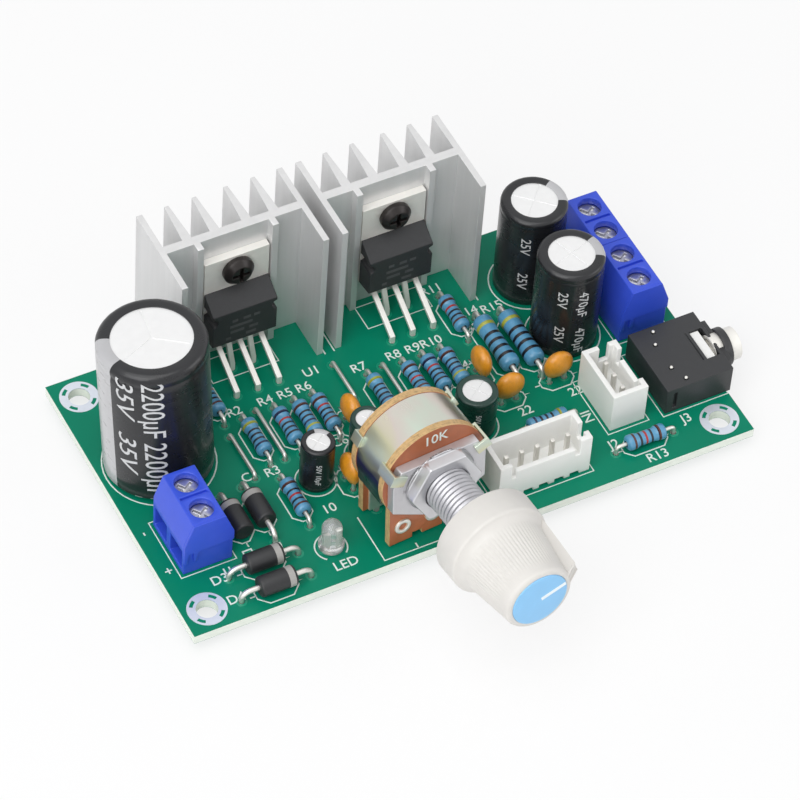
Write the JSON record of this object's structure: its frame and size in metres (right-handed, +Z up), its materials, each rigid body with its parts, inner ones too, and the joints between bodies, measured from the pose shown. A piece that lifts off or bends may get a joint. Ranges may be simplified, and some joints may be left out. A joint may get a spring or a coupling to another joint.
{
  "type": "audio amplifier board",
  "caption": "Stereo power amplifier board with finned heatsinks, a leaning volume control with a skirted knob, screw terminals, pin headers and a jack socket.",
  "frame": {"origin": "centre of the four mounting holes on the underside of the board", "axes": "+X to the right along the long side, +Y to the heatsinks at the back, +Z up from the board"},
  "size_m": [0.0943, 0.0786, 0.0298],
  "materials": {
    "board": "glossy green lacquer with white print",
    "solder": "smooth solder",
    "heatsink": "satin extruded aluminium",
    "chip_case": "fine matte moulding",
    "tinned": "tinned metal",
    "dark_steel": "blackened steel",
    "can": "bright satin aluminium",
    "sleeve_black": "shrunk sleeve, glossy",
    "sleeve_green": "shrunk sleeve, glossy",
    "seal": "black rubber",
    "resistor": "lacquer with colour bands",
    "diode": "moulded, one grey band",
    "ceramic": "dipped lacquer",
    "lens": "water clear epoxy",
    "terminal": "moulded, semi-gloss",
    "plated": "nickel plate",
    "zinc": "zinc plate",
    "cover": "yellow zinc passivation",
    "jack": "fine matte moulding",
    "white_plastic": "moulded nylon",
    "phenolic": "laminated paper board",
    "knob": "fine matte moulding",
    "knob_cap": "smooth cap with a white pointer"
  },
  "bodies": {
    "board": {"circuit_board": "board", "solder_joints": "solder", "small_solder_joints": "solder", "heatsink_left": "heatsink", "heatsink_right": "heatsink", "amplifier_case_left": "chip_case", "amplifier_case_right": "chip_case", "amplifier_frame_left": "tinned", "amplifier_frame_right": "tinned", "heatsink_screws": "dark_steel", "filter_capacitor_can": "can", "filter_capacitor_sleeve": "sleeve_black", "output_capacitor_cans": "can", "output_capacitor_sleeves": "sleeve_black", "small_capacitor_cans": "can", "bypass_capacitor_sleeve": "sleeve_black", "coupling_capacitor_sleeves": "sleeve_green", "capacitor_seals": "seal", "capacitor_leads": "tinned", "resistors": "resistor", "resistor_leads": "tinned", "power_resistors": "resistor", "power_resistor_leads": "tinned", "rectifier_diodes": "diode", "diode_leads": "tinned", "jumper_wires": "tinned", "ceramic_capacitors": "ceramic", "ceramic_leads": "tinned", "led_lens": "lens", "led_leads": "tinned", "terminal_housing_1": "terminal", "terminal_housing_2": "terminal", "terminal_housing_3": "terminal", "terminal_contacts": "tinned", "jack_housing": "jack", "jack_insert": "white_plastic", "jack_ring": "plated", "jack_contacts": "tinned", "input_header": "white_plastic", "volume_header": "white_plastic", "header_pins": "tinned", "pot_front_plate": "zinc", "pot_nut": "plated", "pot_cover": "cover", "pot_wafers": "phenolic"},
    "knob": {"knob_body": "knob", "knob_cap": "knob_cap", "pot_shaft": "zinc"},
    "clamp_screw_1": {"terminal_screw_1": "plated"},
    "clamp_1": {"wire_clamp_1": "zinc"},
    "clamp_screw_2": {"terminal_screw_2": "plated"},
    "clamp_2": {"wire_clamp_2": "zinc"},
    "clamp_screw_3": {"terminal_screw_3": "plated"},
    "clamp_3": {"wire_clamp_3": "zinc"},
    "clamp_screw_4": {"terminal_screw_4": "plated"},
    "clamp_4": {"wire_clamp_4": "zinc"},
    "clamp_screw_5": {"terminal_screw_5": "plated"},
    "clamp_5": {"wire_clamp_5": "zinc"},
    "clamp_screw_6": {"terminal_screw_6": "plated"},
    "clamp_6": {"wire_clamp_6": "zinc"}
  },
  "joints": [
    {"name": "knob_turn", "type": "hinge", "parent": "board", "child": "knob", "pos_m": [-0.00615, -0.0227, 0.014], "axis": [0.0696, -0.9951, 0.0698], "range_deg": [-76, 224]},
    {"name": "clamp_screw_1_turn", "type": "hinge", "parent": "board", "child": "clamp_screw_1", "pos_m": [-0.0379, -0.012, 0.01], "axis": [0, 0, 1], "range_deg": [-1440, 0]},
    {"name": "clamp_1_lift", "type": "slide", "parent": "board", "child": "clamp_1", "axis": [0, 0, 1], "range_m": [0, 0.002]},
    {"name": "clamp_screw_2_turn", "type": "hinge", "parent": "board", "child": "clamp_screw_2", "pos_m": [-0.0379, -0.007, 0.01], "axis": [0, 0, 1], "range_deg": [-1440, 0]},
    {"name": "clamp_2_lift", "type": "slide", "parent": "board", "child": "clamp_2", "axis": [0, 0, 1], "range_m": [0, 0.002]},
    {"name": "clamp_screw_3_turn", "type": "hinge", "parent": "board", "child": "clamp_screw_3", "pos_m": [0.03885, 0.0004, 0.01], "axis": [0, 0, 1], "range_deg": [-1440, 0]},
    {"name": "clamp_3_lift", "type": "slide", "parent": "board", "child": "clamp_3", "axis": [0, 0, 1], "range_m": [0, 0.002]},
    {"name": "clamp_screw_4_turn", "type": "hinge", "parent": "board", "child": "clamp_screw_4", "pos_m": [0.03885, 0.0054, 0.01], "axis": [0, 0, 1], "range_deg": [-1440, 0]},
    {"name": "clamp_4_lift", "type": "slide", "parent": "board", "child": "clamp_4", "axis": [0, 0, 1], "range_m": [0, 0.002]},
    {"name": "clamp_screw_5_turn", "type": "hinge", "parent": "board", "child": "clamp_screw_5", "pos_m": [0.03885, 0.01044, 0.01], "axis": [0, 0, 1], "range_deg": [-1440, 0]},
    {"name": "clamp_5_lift", "type": "slide", "parent": "board", "child": "clamp_5", "axis": [0, 0, 1], "range_m": [0, 0.002]},
    {"name": "clamp_screw_6_turn", "type": "hinge", "parent": "board", "child": "clamp_screw_6", "pos_m": [0.03885, 0.01544, 0.01], "axis": [0, 0, 1], "range_deg": [-1440, 0]},
    {"name": "clamp_6_lift", "type": "slide", "parent": "board", "child": "clamp_6", "axis": [0, 0, 1], "range_m": [0, 0.002]}
  ],
  "couplings": [
    {"joint": "clamp_screw_1_turn", "follows": "clamp_1_lift", "rad_per_m": -12566},
    {"joint": "clamp_screw_2_turn", "follows": "clamp_2_lift", "rad_per_m": -12566},
    {"joint": "clamp_screw_3_turn", "follows": "clamp_3_lift", "rad_per_m": -12566},
    {"joint": "clamp_screw_4_turn", "follows": "clamp_4_lift", "rad_per_m": -12566},
    {"joint": "clamp_screw_5_turn", "follows": "clamp_5_lift", "rad_per_m": -12566},
    {"joint": "clamp_screw_6_turn", "follows": "clamp_6_lift", "rad_per_m": -12566}
  ]
}
